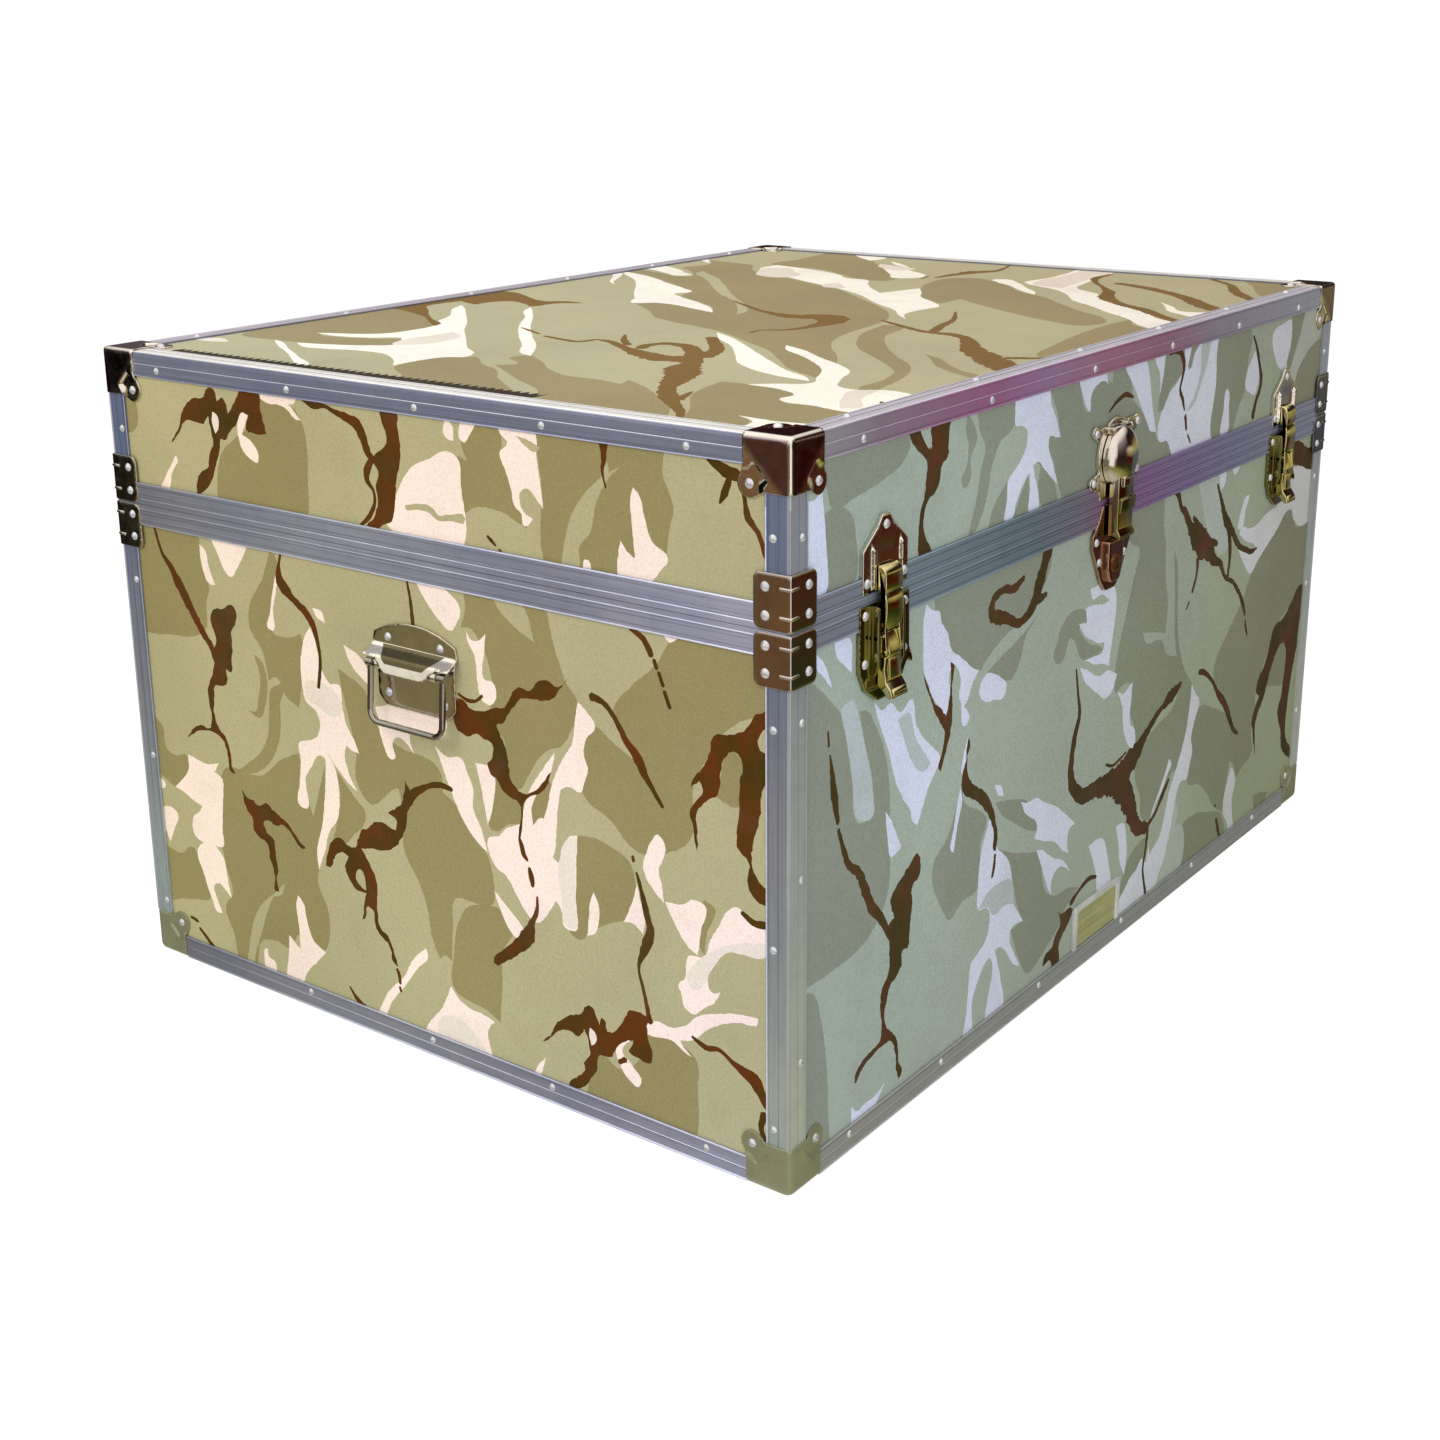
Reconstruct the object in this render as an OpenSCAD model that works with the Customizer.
// Footlocker: panel trunk with fabric covering, aluminium edging, nickel-plated
// corner caps and clamps, two draw catches, a centre hasp lock and two bail handles.
// Frame: +Z up, +X along the length, front (catches) towards -Y, origin on the
// resting plane in the middle of the outline. Millimetres.

/* [Trunk] */
// Length over the corner caps, left to right
trunk_l = 896; // [820:1:1000]
// Depth over the corner caps, front to back
trunk_d = 654; // [560:1:760]
// Height over the corner caps
trunk_h = 515; // [505:1:600]
// Height of the parting plane between base and lid
part_z = 392; // [380:1:396]

/* [Panels] */
// Thickness of the plywood panels
panel_t = 9; // [8:0.5:10]
// Thickness of the fabric covering
cover_t = 0.5; // [0.4:0.1:0.6]
// Thickness of the paper lining
lining_t = 0.6; // [0.4:0.1:0.6]

/* [Edging and rims] */
// Flange width of the aluminium angle edging
edge_w = 19; // [17:0.5:20]
// Wall thickness of the angle edging
edge_t = 1.5; // [1.3:0.1:1.7]
// Height of each half of the rim extrusion at the parting line
rim_h = 17; // [15:0.5:19]
// Wall thickness of the rim extrusion
rim_t = 1.8; // [1.6:0.1:1.8]
// Height of the tongue on the base rim
tongue_h = 3.3; // [2.5:0.1:3.3]

/* [Corner fittings] */
// Sheet thickness of the pressed corner caps
cap_t = 1.5; // [1.4:0.1:1.6]
// Length of a corner cap's legs along the edging
cap_leg = 36; // [33:1:42]
// Radius of a corner cap's riveted lobe
cap_lobe_r = 9.2; // [8:0.2:10]
// Width of each leg of a waist clamp
clamp_w = 28.5; // [27:0.5:34]
// Height of a waist clamp
clamp_h = 36.5; // [34:0.5:38]

/* [Fittings] */
// Distance of each draw catch from the middle of the front
catch_x = 340; // [250:1:370]
// Place of the lock along the front
lock_x = -6; // [-60:1:60]
// Place of the label holder along the front
label_x = 1; // [-40:1:40]
// Distance of the outer hinges from the middle of the back
hinge_x = 290; // [200:1:330]
// Height of the handle bails' pivot
bail_z = 312; // [250:1:315]
// Wire diameter of the handle bails
bail_d = 4.8; // [4.4:0.2:5]

/* [Rivets] */
// Head diameter of the edging rivets
edge_rivet_d = 5.6; // [5:0.1:6]
// Head diameter of the rivets that hold the fittings
fit_rivet_d = 6.6; // [6:0.1:7]

/* [Hidden] */
$fn = 48;

part_gap = 0.4;                     // between the two rims
skin = edge_t + cap_t;              // covering surface to outer plane of the caps
face_x = trunk_l/2 - skin;          // covering surface of the left and right faces
face_y = trunk_d/2 - skin;          // covering surface of the front and back faces
floor_z = skin;                     // underside of the floor panel
top_z = trunk_h - skin;             // covering surface of the lid's top
wall_t = cover_t + panel_t;
floor_top = floor_z + panel_t;
ceiling_z = top_z - wall_t;         // underside of the top panel
lid_z = part_z + part_gap;          // underside of the lid rim
base_web_h = 2;                     // rim webs across the panel edges
lid_web_h = 5.5;
base_panel_z = part_z - base_web_h; // upper edge of the base's wall panels
lid_panel_z = lid_z + lid_web_h;    // lower edge of the lid's wall panels
rim_inset = wall_t + lining_t;      // covering surface to the rim's inner flange
plate_out = 3;                      // outer face of plates that sit over the rim
sink = 0.5;                         // depth of raised details into their plate
pin_r = 1.5;                        // pins of the catch levers, hasp and hinges
bore_gap = 0.06;                    // radial clearance of a turning bore
hinge_out = 6;                      // hinge axis outside the covering surface
hinge_r = 3;                        // radius of the hinge knuckles
knob_out = 16;                      // outermost reach of the catch levers
shift_y = (knob_out - hinge_out - hinge_r)/2;  // brings the outline's middle to y = 0

steel = [0.72, 0.70, 0.66];
alu = [0.60, 0.61, 0.66];
sand = [0.70, 0.67, 0.51];
ply = [0.72, 0.58, 0.40];

// ---- face frames: u along the face, v up, out outwards from the covering ----
// On the top v runs to the back, on the underside to the front.
FRONT = 0;
BACK = 1;
LEFT = 2;
RIGHT = 3;
TOP = 4;
UNDER = 5;
LONG = [FRONT, BACK];
ENDS = [LEFT, RIGHT];
WALLS = concat(LONG, ENDS);

module place() translate([0, shift_y, 0]) children();

module on_face(face) {
  if (face == FRONT) translate([0, -face_y, 0]) rotate([90, 0, 0]) children();
  if (face == BACK) rotate([0, 0, 180]) on_face(FRONT) children();
  if (face == LEFT)
    translate([-face_x, 0, 0]) rotate([0, 0, -90]) rotate([90, 0, 0]) children();
  if (face == RIGHT) rotate([0, 0, 180]) on_face(LEFT) children();
  if (face == TOP) translate([0, 0, top_z]) children();
  if (face == UNDER) translate([0, 0, floor_z]) rotate([180, 0, 0]) children();
}

// face frame with v measured from the parting plane
module at_parting(face, u) on_face(face) translate([u, part_z, 0]) children();

// bars along u with a section drawn as [v, out]: from one u to another,
// centred, and as a pair either side of the middle
module along_u(start, end)
  translate([start, 0, 0]) rotate([90, 0, 90]) linear_extrude(end - start) children();
module across(half) along_u(-half, half) children();
module along_both(inner, outer) {
  along_u(-outer, -inner) children();
  along_u(inner, outer) children();
}

// repeats at the four upright corners what is drawn for the front left one
module corners() for (right = [0, 1], back = [0, 1])
  mirror([right, 0, 0]) mirror([0, back, 0]) translate([-trunk_l/2, -trunk_d/2, 0]) children();

// the same at the trunk's upper corners, for children drawn at the lower ones
module upside_down() translate([0, 0, trunk_h]) mirror([0, 0, 1]) children();

// closed outline from its half on one side of u = 0
function both_halves(half) =
  concat(half, [for (i = [len(half) - 1:-1:0]) [-half[i][0], half[i][1]]]);

// ---- rivets, listed as [face, u, v, seat height above the covering] ----
shank_d = 3;
hole_d = 3.3;
shank_in = 8;            // depth of a shank below the covering
rivet_in = 14.5;         // edging rivets from the caps' outer planes
lobe_in = 32;            // cap rivets from the caps' outer planes
clamp_rivet_in = 19.5;   // clamp rivets from the caps' outer planes
lid_post_rivet = 64;     // lid corner rivets below the top

// edging rivets along the length and the depth, low on the base and high on the lid
base_long_u = [-374, -250, -98, 50, 195, 335];
base_end_u = [-138, -3, 117, 256];
lid_long_u = [-366, -203, -46, 91, 225, 360];
lid_end_u = [-264, -117, 12, 128, 247];
// heights of the rivets in the base's corner edging
post_long_z = [96, 226, 332];
post_end_z = [48, 178, 328];

// waist clamps
base_clamp_h = clamp_h - 1;
lid_clamp_z = lid_z + 0.8;
base_clamp_z = part_z - 0.6 - base_clamp_h;

// rivet patterns as [u, v] from the fitting's middle and the parting plane
catch_base_rivets = [[-24, -7.5], [24, -7.5], [-24, -40], [24, -40]];
catch_lid_rivets = [[0, 49], [-22.5, 13.5], [22.5, 13.5]];
lock_base_rivets = [[-28, -28], [28, -28], [-22, -45], [22, -45]];
lock_lid_rivets = [[-35, 58], [35, 58], [-37, 20], [37, 20]];
hinge_base_rivets = [[-20, -27], [20, -27]];
hinge_lid_rivets = [[-20, 27], [20, 27]];
// this one from the bail's pivot
handle_rivets = [[-26, 18], [26, 18], [-28, -24], [28, -24]];

catch_at = [-catch_x, catch_x];
hinge_at = [-hinge_x, 0, hinge_x];

function half_span(face) = (face <= BACK ? trunk_l : trunk_d)/2;
function wall_row(faces, along, height) =
  [for (face = faces, u = along) [face, u, height, edge_t]];
function flat_rows(face, along) =
  [for (side = [-1, 1], u = along) [face, u, side*(trunk_d/2 - rivet_in), edge_t]];
function near_corners(faces, inset, heights, seat) =
  [for (face = faces, side = [-1, 1], z = heights)
    [face, side*(half_span(face) - inset), z, seat]];
function cap_rivets(flat_face, height) = concat(
  near_corners(WALLS, lobe_in, [height], cap_t),
  [for (x = [-1, 1], y = [-1, 1])
    [flat_face, x*(trunk_l/2 - lobe_in), y*(trunk_d/2 - lobe_in), cap_t]]);
function clamp_rivets(heights) = near_corners(WALLS, clamp_rivet_in, heights, plate_out);
function pattern(faces, centres, points, z = part_z, seat = plate_out) =
  [for (face = faces, u = centres, p = points) [face, u + p[0], z + p[1], seat]];

base_edge_list = concat(
  wall_row(ENDS, base_end_u, rivet_in),
  wall_row(LONG, base_long_u, rivet_in),
  near_corners(LONG, rivet_in, post_long_z, edge_t),
  near_corners(ENDS, rivet_in, post_end_z, edge_t),
  flat_rows(UNDER, base_long_u));
lid_edge_list = concat(
  wall_row(ENDS, lid_end_u, trunk_h - rivet_in),
  wall_row(LONG, lid_long_u, trunk_h - rivet_in),
  near_corners(WALLS, rivet_in, [trunk_h - lid_post_rivet], edge_t),
  flat_rows(TOP, lid_long_u));
base_fit_list = concat(
  cap_rivets(UNDER, lobe_in),
  clamp_rivets([base_clamp_z + 9, base_clamp_z + 27]),
  pattern([FRONT], catch_at, catch_base_rivets),
  pattern([FRONT], [lock_x], lock_base_rivets),
  pattern(ENDS, [0], handle_rivets, z = bail_z, seat = 2),
  pattern([BACK], hinge_at, hinge_base_rivets));
lid_fit_list = concat(
  cap_rivets(TOP, trunk_h - lobe_in),
  clamp_rivets([lid_clamp_z + 9, lid_clamp_z + 27.5]),
  pattern([FRONT], catch_at, catch_lid_rivets),
  pattern([FRONT], [lock_x], lock_lid_rivets),
  pattern([BACK], hinge_at, hinge_lid_rivets));
base_list = concat(base_edge_list, base_fit_list);
lid_list = concat(lid_edge_list, lid_fit_list);

// domed head on a shank
module rivet(head_d, seat, head_h) {
  dome_r = (head_d*head_d/4 + head_h*head_h)/(2*head_h);
  translate([0, 0, -shank_in]) cylinder(d = shank_d, h = shank_in + seat + 0.2);
  translate([0, 0, seat]) intersection() {
    translate([0, 0, head_h - dome_r]) sphere(dome_r);
    cylinder(d = head_d + 1, h = head_h + 1);
  }
}

// heads under the floor stay 0.3 clear of the resting plane
module rivets(list, head_d) for (spot = list)
  on_face(spot[0]) translate([spot[1], spot[2], 0])
    rivet(head_d, spot[3], spot[0] == UNDER ? skin - spot[3] - 0.3 : head_d*0.3);

// children with the holes for the listed rivets on the given faces
module drilled(list, faces) difference() {
  children();
  for (face = faces, spot = list) if (spot[0] == face)
    on_face(face) translate([spot[1], spot[2], -shank_in - 0.3])
      cylinder(d = hole_d, h = shank_in + 8);
}

module base_edging_rivets() place() color("silver") rivets(base_edge_list, edge_rivet_d);
module lid_edging_rivets() place() color("silver") rivets(lid_edge_list, edge_rivet_d);
module base_fitting_rivets() place() color("gainsboro") rivets(base_fit_list, fit_rivet_d);
module lid_fitting_rivets() place() color("gainsboro") rivets(lid_fit_list, fit_rivet_d);

// ---- panels ----
// block set in from the covering surface on all four sides
module block(inset, z0, z1) translate([-face_x + inset, -face_y + inset, z0])
  cube([2*(face_x - inset), 2*(face_y - inset), z1 - z0]);
// front panel and, between front and back, left panel
module long_panel(z0, z1) translate([-face_x + cover_t, -face_y + cover_t, z0])
  cube([2*(face_x - cover_t), panel_t, z1 - z0]);
module end_panel(z0, z1) translate([-face_x + cover_t, -face_y + wall_t, z0])
  cube([panel_t, 2*(face_y - wall_t), z1 - z0]);

module floor_panel() place() color(ply)
  drilled(base_list, [UNDER]) block(cover_t, floor_z, floor_top);
module base_front_panel() place() color(ply)
  drilled(base_list, [FRONT]) long_panel(floor_top, base_panel_z);
module base_back_panel() place() color(ply)
  drilled(base_list, [BACK]) mirror([0, 1, 0]) long_panel(floor_top, base_panel_z);
module base_left_panel() place() color(ply)
  drilled(base_list, [LEFT]) end_panel(floor_top, base_panel_z);
module base_right_panel() place() color(ply)
  drilled(base_list, [RIGHT]) mirror([1, 0, 0]) end_panel(floor_top, base_panel_z);
module top_panel() place() color(ply)
  drilled(lid_list, [TOP]) block(cover_t, ceiling_z, ceiling_z + panel_t);
module lid_front_panel() place() color(ply)
  drilled(lid_list, [FRONT]) long_panel(lid_panel_z, ceiling_z);
module lid_back_panel() place() color(ply)
  drilled(lid_list, [BACK]) mirror([0, 1, 0]) long_panel(lid_panel_z, ceiling_z);
module lid_left_panel() place() color(ply)
  drilled(lid_list, [LEFT]) end_panel(lid_panel_z, ceiling_z);
module lid_right_panel() place() color(ply)
  drilled(lid_list, [RIGHT]) mirror([1, 0, 0]) end_panel(lid_panel_z, ceiling_z);

// ---- covering: fabric sheets, one per face, stopping short of each other ----
sheet_gap = 0.2;

module wall_sheets(z0, z1) {
  end_in = cover_t + sheet_gap;
  for (back = [0, 1]) mirror([0, back, 0])
    translate([-face_x, -face_y, z0]) cube([2*face_x, cover_t, z1 - z0]);
  for (right = [0, 1]) mirror([right, 0, 0])
    translate([-face_x, -face_y + end_in, z0]) cube([cover_t, 2*(face_y - end_in), z1 - z0]);
}
module base_covering() place() color(sand)
  drilled(base_list, WALLS) wall_sheets(floor_z, base_panel_z);
module lid_covering() place() color(sand) drilled(lid_list, concat(WALLS, TOP)) union() {
  wall_sheets(lid_panel_z, top_z - cover_t - sheet_gap);
  block(0, top_z - cover_t, top_z);
}

// ---- lining: open trays inside the panels ----
module base_lining() place() color("linen") difference() {
  block(wall_t, floor_top, base_panel_z);
  block(rim_inset, floor_top + lining_t, trunk_h);
}
module lid_lining() place() color("linen") difference() {
  block(wall_t, lid_panel_z, ceiling_z);
  block(rim_inset, 0, ceiling_z - lining_t);
}

// ---- aluminium edging ----
edge_r = 3;            // outer corner radius
edge_groove_w = 0.9;
edge_groove_deep = 0.4;
edge_stop = 21.5;      // edging ends this far from the caps' outer planes
post_gap = 0.3;        // between corner edging and rim

// outer corner at the origin, two flanges with two grooves each
module angle_section() difference() {
  union() {
    translate([edge_r, 0]) square([edge_w - edge_r, edge_w]);
    translate([0, edge_r]) square([edge_w, edge_w - edge_r]);
    translate([edge_r, edge_r]) circle(edge_r);
  }
  translate([edge_t, edge_t]) square(edge_w);
  for (groove = [8.5, edge_w - 3]) {
    translate([groove, -1]) square([edge_groove_w, 1 + edge_groove_deep]);
    translate([-1, groove]) square([1 + edge_groove_deep, edge_groove_w]);
  }
}
module edge_bar(length, face_at) translate([-length/2, -(face_at + edge_t), floor_z - edge_t])
  rotate([90, 0, 90]) linear_extrude(length) angle_section();
module edge_frame() {
  for (turn = [0, 180]) rotate([0, 0, turn]) edge_bar(trunk_l - 2*edge_stop, face_y);
  for (turn = [90, 270]) rotate([0, 0, turn]) edge_bar(trunk_d - 2*edge_stop, face_x);
}
module posts(z0, z1) corners()
  translate([cap_t, cap_t, z0]) linear_extrude(z1 - z0) angle_section();

module bottom_edging() place() color(alu)
  drilled(base_list, concat(WALLS, UNDER)) edge_frame();
module top_edging() place() color(alu)
  drilled(lid_list, concat(WALLS, TOP)) upside_down() edge_frame();
module base_corner_edging() place() color(alu)
  drilled(base_list, WALLS) posts(edge_stop, part_z - rim_h - post_gap);
module lid_corner_edging() place() color(alu)
  drilled(lid_list, WALLS) posts(lid_z + rim_h + post_gap, trunk_h - edge_stop);

// ---- rim extrusions, sections drawn as [inwards from the covering, height] ----
flange_t = 1.5;        // inner flange
base_flange_h = 12;
lid_flange_h = 13;
tongue_in = 4;
tongue_t = 2;
slot_gap = 1.2;        // slot wider than the tongue on each side
slot_deep = 4;
rim_web_w = rim_t + rim_inset + flange_t;
mitre_in = 20;         // reach of the mitred ends past the covering surface
mitre_gap = 0.1;       // taken off each mitred end

// grooves in the outer face at the given heights
module rim_grooves(heights) for (z = heights) translate([-rim_t - 1, z]) square([1.5, 1]);

module base_rim_section() difference() {
  union() {
    translate([-rim_t, part_z - rim_h]) square([rim_t, rim_h]);
    translate([-rim_t, part_z - base_web_h]) square([rim_web_w, base_web_h]);
    translate([rim_inset, part_z - base_flange_h]) square([flange_t, base_flange_h]);
    translate([tongue_in, part_z - 1]) square([tongue_t, tongue_h + 1]);
  }
  rim_grooves([for (z = [3, 9, 11.5]) part_z - rim_h + z]);
}
module lid_rim_section() difference() {
  union() {
    translate([-rim_t, lid_z]) square([rim_t, rim_h]);
    translate([-rim_t, lid_z]) square([rim_web_w, lid_web_h]);
    translate([rim_inset, lid_z]) square([flange_t, lid_flange_h]);
  }
  translate([tongue_in - slot_gap, lid_z - 1]) square([tongue_t + 2*slot_gap, 1 + slot_deep]);
  rim_grooves([for (z = [4.5, 7, rim_h - 4]) lid_z + z]);
}
// one mitred length; half_l along the bar, face_at its covering surface
module rim_bar(half_l, face_at) intersection() {
  translate([-half_l - rim_t, -face_at, 0])
    rotate([90, 0, 90]) linear_extrude(2*(half_l + rim_t)) children();
  translate([0, 0, part_z - 40]) linear_extrude(80) polygon(both_halves([
    [half_l + rim_t - mitre_gap, -face_at - rim_t],
    [half_l - mitre_in - mitre_gap, -face_at + mitre_in]]));
}
module rim_frame() {
  for (turn = [0, 180]) rotate([0, 0, turn]) rim_bar(face_x, face_y) children();
  for (turn = [90, 270]) rotate([0, 0, turn]) rim_bar(face_y, face_x) children();
}
module base_rim() place() color(alu) drilled(base_list, WALLS) rim_frame() base_rim_section();
module lid_rim() place() color(alu) drilled(lid_list, WALLS) rim_frame() lid_rim_section();

// ---- pressed corner caps: vertex at the origin, faces inwards ----
cap_w = 22.3;          // width of the legs
cap_room = 0.3;        // room beside the edging's flanges
cap_bevel = 2.5;       // side of the square bars that bevel the outer edges

module cap_face() {
  linear_extrude(skin) {
    square([cap_leg, cap_w]);
    square([cap_w, cap_leg]);
  }
  // riveted lobe and its neck
  translate([0, 0, edge_t]) linear_extrude(skin - edge_t) {
    translate([lobe_in, lobe_in]) circle(cap_lobe_r);
    polygon([[22, 22], [cap_leg - 1, 22], [lobe_in + 8, lobe_in - 4.4],
      [lobe_in, lobe_in], [lobe_in - 4.4, lobe_in + 8], [22, cap_leg - 1]]);
  }
}
module corner_cap() difference() {
  union() {
    cap_face();
    rotate([90, 0, 90]) cap_face();
    mirror([0, 1, 0]) rotate([90, 0, 0]) cap_face();
  }
  // room for both flanges of the edging along each axis
  translate([cap_t, cap_t, cap_t]) for (axis = [0:2], flange = [1, 2])
    cube([for (i = [0:2])
      i == axis ? 60 : i == (axis + flange) % 3 ? edge_w + cap_room : edge_t]);
  // bevelled outer edges
  for (axis = [0:2]) rotate([for (i = [0:2]) i == axis ? 45 : 0])
    cube([for (i = [0:2]) i == axis ? 200 : cap_bevel], center = true);
}
module base_corner_caps() place() color(steel)
  drilled(base_list, concat(WALLS, UNDER)) corners() corner_cap();
module lid_corner_caps() place() color(steel)
  drilled(lid_list, concat(WALLS, TOP)) upside_down() corners() corner_cap();

// ---- waist clamps: two riveted legs bent round the corner ----
clamp_t = skin - rim_t;
clamp_r = 5;           // corner radius of a leg's free end
clamp_bevel = 1.7;     // side of the square bar that bevels the bend

module clamp_leg(height) {
  translate([0, clamp_r]) square([clamp_w, height - 2*clamp_r]);
  square([clamp_w - clamp_r, height]);
  for (y = [clamp_r, height - clamp_r]) translate([clamp_w - clamp_r, y]) circle(clamp_r);
}
module clamp(height) difference() {
  union() {
    translate([0, clamp_t, 0]) rotate([90, 0, 0]) linear_extrude(clamp_t) clamp_leg(height);
    rotate([90, 0, 90]) linear_extrude(clamp_t) clamp_leg(height);
  }
  rotate([0, 0, 45]) cube([clamp_bevel, clamp_bevel, 300], center = true);
}
module base_clamps() place() color(steel)
  drilled(base_list, WALLS) corners() translate([0, 0, base_clamp_z]) clamp(base_clamp_h);
module lid_clamps() place() color(steel)
  drilled(lid_list, WALLS) corners() translate([0, 0, lid_clamp_z]) clamp(clamp_h);

// ---- hollows behind plates that sit over the rims, v from the parting plane ----
module rim_relief(v0, v1) translate([-60, v0, -1]) cube([120, v1 - v0, 1 + rim_t + 0.01]);
module base_rim_relief() rim_relief(-rim_h - 0.2, 5);
module lid_rim_relief() rim_relief(part_gap - 2, part_gap + rim_h + 0.2);

// ---- draw catches, drawn about their middle, v from the parting plane ----
back_out = 3.6;            // back of the lever
lever_pivot = [-24, 6.2];  // [v, out]
claw_pivot = [-34.5, 8.9];
claw_pin_r = 1.3;
claw_v = claw_pivot[0];
claw_half = 10.4;          // half width
claw_t = 1.4;              // strap thickness
strap_out = 8.2;           // back of the strap
hook_v = 17;               // start of the hook's rounded end
hook_r = 6.2;
hook_out = 3.4;            // back of the hook
knob_r = 3.6;

// outlines as [u, v], one half
keeper_half = [[27, 6.5], [27, 34.5], [6, 51]];
catch_plate_half = [[30, -1], [30, -48], [27.5, -53], [8, -68.5]];
// lever sections as [v, out]
lever_head = [
  [lever_pivot[0] - 0.5, back_out], [lever_pivot[0] + 0.6, 8.7],
  [claw_v + 1.2, 11], [claw_v - 4, 10.6], [claw_v - 4, back_out]];
lever_tail = [
  [claw_v - 3.2, back_out], [claw_v - 3.2, 9.8], [-55, 10.6], [-60, 13.5],
  [-64.5, 13.5], [-64.5, 10.4], [-61, 8.6], [-58, back_out]];

module keeper() difference() {
  union() {
    linear_extrude(plate_out) {
      polygon(both_halves(keeper_half));
      translate(catch_lid_rivets[0]) circle(6.2);
    }
    // upright ribs
    for (side = [-1, 1]) translate([side*17 - 1.3, 9, plate_out - sink]) cube([2.6, 27, 3]);
  }
  lid_rim_relief();
}
module catch_plate() difference() {
  union() {
    linear_extrude(plate_out) difference() {
      polygon(both_halves(catch_plate_half));
      for (side = [-1, 1]) translate([side*24, -70.5]) circle(11);
    }
    // cheeks that carry the pivot pin
    for (side = [-1, 1])
      translate([side*15.2 - 1.2, -50, plate_out - sink]) cube([2.4, 47, 6.4]);
  }
  base_rim_relief();
  across(20) translate(lever_pivot) circle(pin_r);
}
module lever() difference() {
  union() {
    across(6.8) {
      translate(lever_pivot) circle(2.75);
      translate(claw_pivot) circle(2.4);
      polygon(lever_head);
    }
    across(10.2) polygon(lever_tail);
    across(8.5) translate([-62.5, knob_out - knob_r]) circle(knob_r);
  }
  across(20) translate(lever_pivot) circle(pin_r + bore_gap);
  across(20) translate(claw_pivot) circle(claw_pin_r + bore_gap);
}
module claw() difference() {
  union() {
    // hook over the keeper, and the strap below it
    across(claw_half) {
      translate([6, hook_out]) square([11, hook_r]);
      intersection() {
        translate([hook_v, hook_out]) circle(hook_r);
        translate([hook_v - 0.01, hook_out]) square([10, 10]);
      }
      translate([-20, strap_out]) square([26.5, claw_t]);
    }
    // arms either side of the lever
    along_both(7.2, claw_half) {
      translate([claw_v, strap_out]) square([15, claw_t]);
      translate(claw_pivot) circle(2.2);
    }
  }
  across(20) translate(claw_pivot) circle(claw_pin_r);
}
module claw_pin() across(11) translate(claw_pivot) circle(claw_pin_r);

module left_catch_keeper() place() color(steel)
  drilled(lid_list, [FRONT]) at_parting(FRONT, -catch_x) keeper();
module right_catch_keeper() place() color(steel)
  drilled(lid_list, [FRONT]) at_parting(FRONT, catch_x) keeper();
module left_catch_plate() place() color(steel)
  drilled(base_list, [FRONT]) at_parting(FRONT, -catch_x) catch_plate();
module right_catch_plate() place() color(steel)
  drilled(base_list, [FRONT]) at_parting(FRONT, catch_x) catch_plate();
module catch_pivot_pins() place() color("silver") for (u = catch_at)
  at_parting(FRONT, u) across(16.4) translate(lever_pivot) circle(pin_r);
module left_catch_lever() place() color(steel) at_parting(FRONT, -catch_x) lever();
module right_catch_lever() place() color(steel) at_parting(FRONT, catch_x) lever();
module left_catch_claw() place() color(steel) at_parting(FRONT, -catch_x) claw();
module right_catch_claw() place() color(steel) at_parting(FRONT, catch_x) claw();
module left_claw_pin() place() color("silver") at_parting(FRONT, -catch_x) claw_pin();
module right_claw_pin() place() color("silver") at_parting(FRONT, catch_x) claw_pin();

// ---- hasp lock, v from the parting plane ----
hasp_v = 58;               // hasp pivot
hasp_pivot = [hasp_v, 6];  // [v, out]
lug_r = 2.7;               // lugs that carry the hasp pin
ear_r = 5.5;               // rounded ears round the hasp plate's rivets
key_v = -49;               // middle of the key plug
plug_r = 6;
// hasp bar as [v, out]; lock case outline as [u, v], one half
hasp_bar = [[-26, 4.4], [38, 4.4], [38, 12.6], [-23, 12.6], [-26, 9.6]];
lock_case_half = [[18, -1], [33, -23], [33, -33], [26, -49], [13, -66]];

module hasp_plate_body() difference() {
  union() {
    linear_extrude(plate_out) {
      translate([0, 38]) circle(27);
      translate([-37, 13]) square([74, 13]);
      for (p = lock_lid_rivets) translate(p) circle(ear_r);
      translate([-35, hasp_v - ear_r]) square([70, 2*ear_r]);
      translate([-25, 4]) square([50, 20]);
    }
    along_both(14, 16.2) {
      translate(hasp_pivot) circle(lug_r);
      translate([hasp_v - lug_r, plate_out - sink])
        square([2*lug_r, hasp_pivot[1] - plate_out + sink]);
    }
  }
  lid_rim_relief();
  across(20) translate(hasp_pivot) circle(pin_r);
}
module lock_case_body() difference() {
  union() {
    linear_extrude(plate_out) {
      polygon(both_halves(lock_case_half));
      translate([0, -58]) circle(14);
    }
    translate([-13, -63, plate_out - sink]) cube([26, 33, 4.5]);
  }
  base_rim_relief();
  translate([0, key_v, 0.5]) cylinder(r = plug_r + bore_gap, h = 20);
}
module hasp_plate() place() color(steel)
  drilled(lid_list, [FRONT]) at_parting(FRONT, lock_x) hasp_plate_body();
module lock_case() place() color(steel)
  drilled(base_list, [FRONT]) at_parting(FRONT, lock_x) lock_case_body();
module hasp_pin() place() color("silver")
  at_parting(FRONT, lock_x) across(17) translate(hasp_pivot) circle(pin_r);
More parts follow.
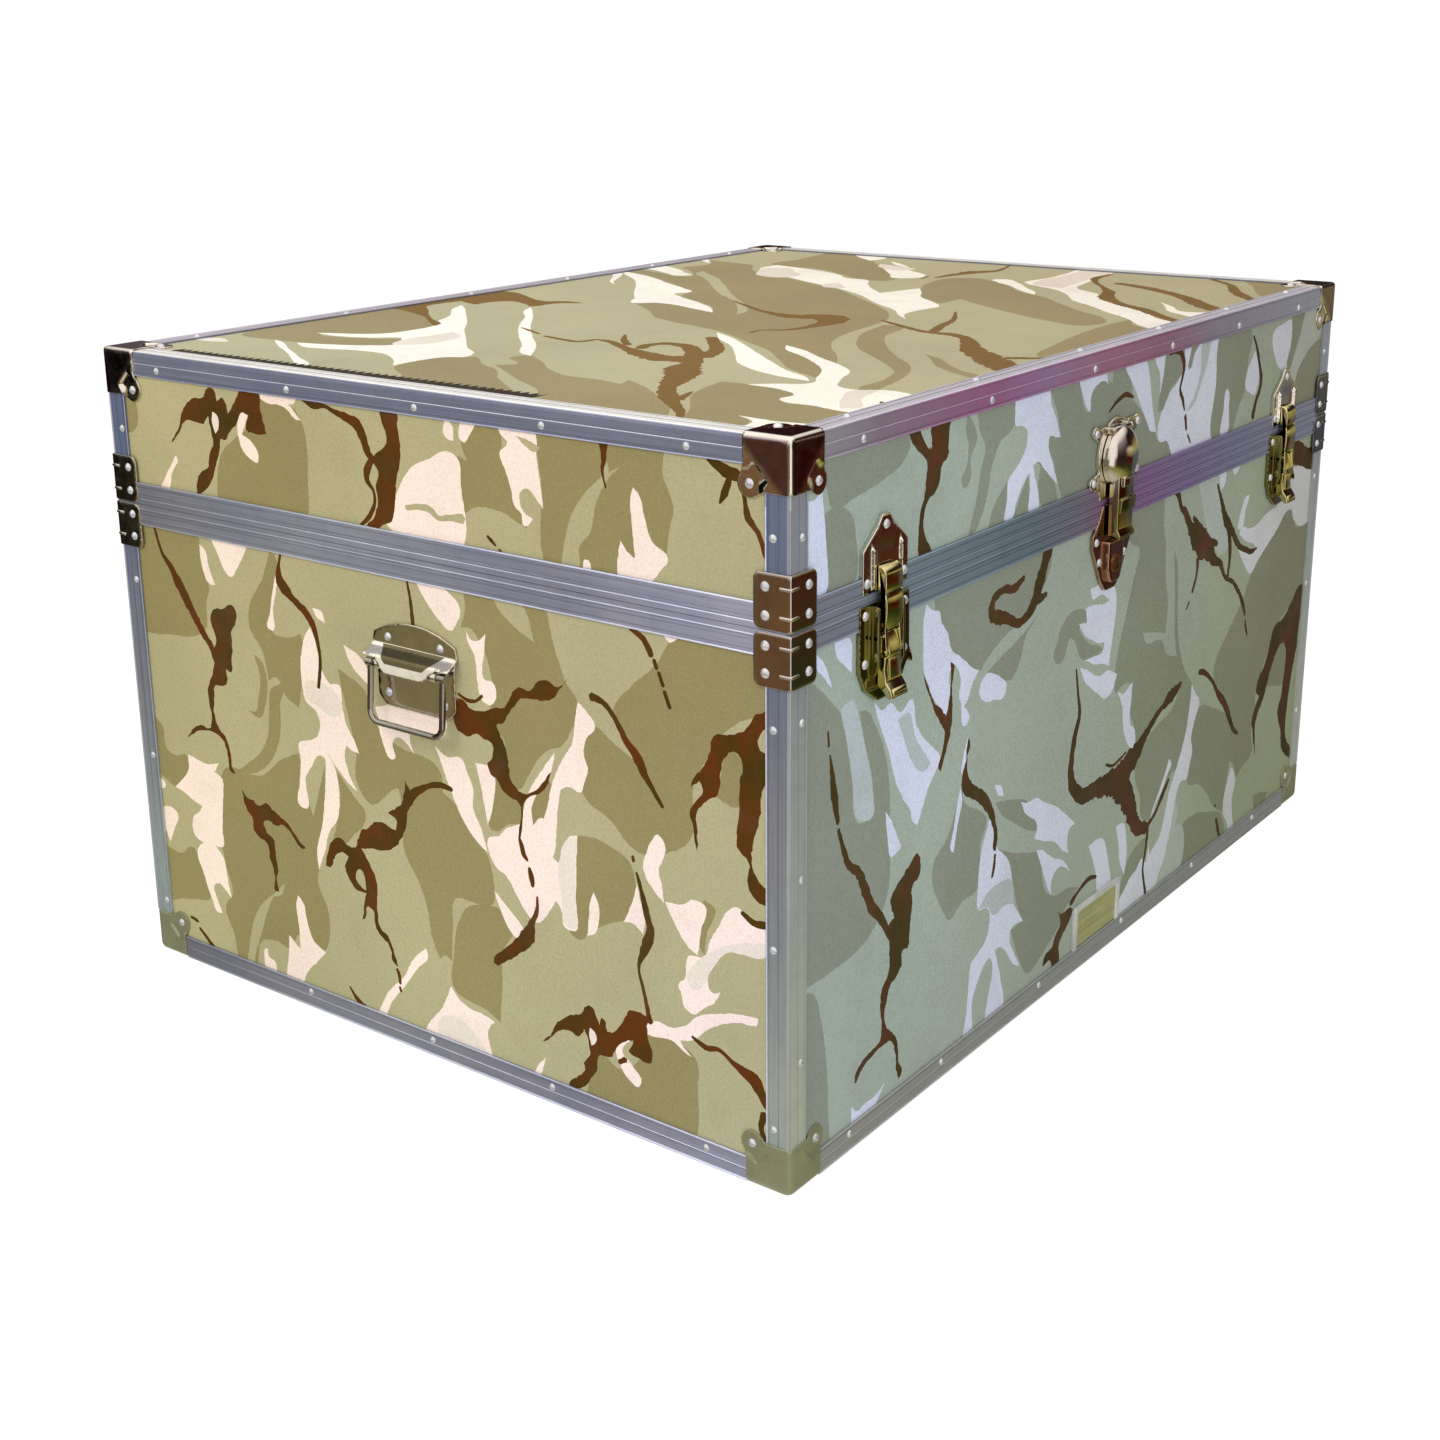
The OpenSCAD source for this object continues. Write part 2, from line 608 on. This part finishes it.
module lock_hasp() place() color(steel) at_parting(FRONT, lock_x) difference() {
  union() {
    across(13.6) {
      translate(hasp_pivot) circle(2.6);
      translate([hasp_v - 8, 3.8]) square([8, 4.6]);
      polygon(hasp_bar);
    }
    // shallow dome on the upper part
    intersection() {
      translate([0, 36, -18.3]) sphere(r = 32.3, $fn = 96);
      translate([-30, 8, 3.4]) cube([60, 46.6, 20]);
    }
  }
  across(20) translate(hasp_pivot) circle(pin_r + bore_gap);
}
module lock_plug() place() color("goldenrod")
  at_parting(FRONT, lock_x) translate([0, key_v, 0]) difference() {
    union() {
      translate([0, 0, 0.6]) cylinder(r = plug_r, h = 6.6);
      translate([0, 0, 7.1]) cylinder(r = 7.4, h = 0.9);
    }
    translate([-0.8, -4, 4]) cube([1.6, 8, 5]);
  }

// ---- end handles, drawn about the bail's pivot height ----
bail_out = 10.5;       // pivot outside the covering
bail_tilt = -5;
bail_half = 36;        // middle of the face to an arm
arm_l = 35;            // straight part of an arm
bend_r = 9;            // centreline radius of the lower bends
bail_eye_w = 6.4;
cross_half = bail_half - bend_r;
plate_half_w = 41;
// lower part of the plate as [u, v], one half
handle_half = [[plate_half_w, -11], [plate_half_w, -28], [31, -35.5]];
// sloping hood over the pivot and the lip below it, as [v, out]
hood = [[10.5, 1], [10.5, 2], [6.5, 14.4], [4.6, 14.4], [8, 1.8], [8, 1]];
hood_lip = [[6.5, 12.9], [6.5, 14.4], [-5.2, 14.4], [-5.2, 12.9]];

module handle_plate() translate([0, bail_z, 0]) difference() {
  union() {
    linear_extrude(2) difference() {
      union() {
        // arched upper part
        intersection() {
          translate([0, -50.9]) circle(81.9, $fn = 160);
          translate([-plate_half_w, -12]) square([2*plate_half_w, 60]);
        }
        polygon(both_halves(handle_half));
      }
      translate([0, -72]) circle(42.5, $fn = 120);
    }
    across(plate_half_w) polygon(hood);
    across(21) polygon(hood_lip);
    // lugs that carry the bail
    along_both(24.5, 31) {
      translate([0, bail_out]) circle(3.8);
      translate([-3, 1]) square([6, bail_out - 1]);
    }
  }
  across(50) translate([0, bail_out]) circle(bail_d/2 + 0.08);
}
// round-wire bail: pivot bar, an eye at each end of it, two arms and a cross bar
module bail() translate([0, bail_z, bail_out]) rotate([bail_tilt, 0, 0]) {
  for (side = [0, 1]) mirror([side, 0, 0]) {
    translate([bail_half, 0, 0]) rotate([90, 0, 0]) cylinder(d = bail_d, h = arm_l);
    translate([cross_half, -arm_l, 0]) rotate([0, 0, -90])
      rotate_extrude(angle = 90) translate([bend_r, 0]) circle(d = bail_d);
    translate([bail_half - bail_eye_w/2, 0, 0])
      rotate([0, 90, 0]) cylinder(r = bail_d/2 + 1, h = bail_eye_w);
  }
  translate([-cross_half, -arm_l - bend_r, 0])
    rotate([0, 90, 0]) cylinder(d = bail_d, h = 2*cross_half);
  translate([-34, 0, 0]) rotate([0, 90, 0]) cylinder(d = bail_d, h = 68);
}
module left_handle_plate() place() color(steel)
  drilled(base_list, [LEFT]) on_face(LEFT) handle_plate();
module right_handle_plate() place() color(steel)
  drilled(base_list, [RIGHT]) on_face(RIGHT) handle_plate();
module left_handle_bail() place() color("silver") on_face(LEFT) bail();
module right_handle_bail() place() color("silver") on_face(RIGHT) bail();

// ---- label holder: frame open at the bottom, with a plate inside ----
module label_frame() place() color("silver")
  on_face(FRONT) translate([label_x, 0, 0]) difference() {
    translate([-42, 20.8, 0]) cube([84, 37.7, 2.4]);
    // window, and behind it the wider recess for the plate
    translate([-35, 20, -1]) cube([70, 33.2, 5]);
    translate([-37, 20, -1]) cube([74, 35.2, 2.2]);
  }
module label_plate() place() color("darkkhaki")
  on_face(FRONT) translate([label_x, 0, 0]) translate([-36.8, 20.9, 0.1]) cube([73.6, 34, 0.9]);

// ---- back hinges: axis along the length, outside the back face ----
hinge_v = part_gap/2;      // axis above the parting plane
leaf_half = 30;            // half width of a leaf
leaf_h = 32;
lid_knuckle_half = 10;
base_knuckle_in = 10.3;    // inner ends of the base knuckles
web_h = 3.4;               // web from leaf to knuckle
web_gap = 0.6;             // web to the rim's parting face

module at_hinge() translate([hinge_v, hinge_out]) children();
module hinge_web(v) translate([v, rim_t]) square([web_h, hinge_out - rim_t]);
module web_bore() across(40) at_hinge() circle(2.2);
module leaf_plate(v) linear_extrude(plate_out)
  translate([-leaf_half, v]) square([2*leaf_half, leaf_h]);
module knuckle(bore_r) difference() {
  at_hinge() circle(hinge_r);
  at_hinge() circle(bore_r);
}
module base_leaf() {
  difference() {
    leaf_plate(-35);
    base_rim_relief();
  }
  difference() {
    along_both(base_knuckle_in, leaf_half) hinge_web(-web_gap - web_h);
    web_bore();
  }
  along_both(base_knuckle_in, leaf_half) knuckle(pin_r);
}
module lid_leaf() {
  difference() {
    leaf_plate(part_gap + 3);
    lid_rim_relief();
  }
  difference() {
    across(lid_knuckle_half) hinge_web(part_gap + web_gap);
    web_bore();
  }
  across(lid_knuckle_half) knuckle(pin_r + bore_gap);
}
module hinge_base_leaves() place() color(steel)
  drilled(base_list, [BACK]) for (u = hinge_at) at_parting(BACK, u) base_leaf();
module hinge_lid_leaves() place() color(steel)
  drilled(lid_list, [BACK]) for (u = hinge_at) at_parting(BACK, u) lid_leaf();
module hinge_pins() place() color("silver") for (u = hinge_at)
  at_parting(BACK, u) across(leaf_half + 0.5) at_hinge() circle(pin_r);

floor_panel();
base_front_panel();
base_back_panel();
base_left_panel();
base_right_panel();
base_covering();
base_lining();
bottom_edging();
base_corner_edging();
base_rim();
base_corner_caps();
base_clamps();
base_edging_rivets();
base_fitting_rivets();
left_catch_plate();
right_catch_plate();
catch_pivot_pins();
lock_case();
lock_plug();
left_handle_plate();
right_handle_plate();
label_frame();
label_plate();
hinge_base_leaves();
hinge_pins();
top_panel();
lid_front_panel();
lid_back_panel();
lid_left_panel();
lid_right_panel();
lid_covering();
lid_lining();
top_edging();
lid_corner_edging();
lid_rim();
lid_corner_caps();
lid_clamps();
lid_edging_rivets();
lid_fitting_rivets();
left_catch_keeper();
right_catch_keeper();
hasp_plate();
hasp_pin();
hinge_lid_leaves();
lock_hasp();
left_catch_lever();
right_catch_lever();
left_catch_claw();
right_catch_claw();
left_claw_pin();
right_claw_pin();
left_handle_bail();
right_handle_bail();
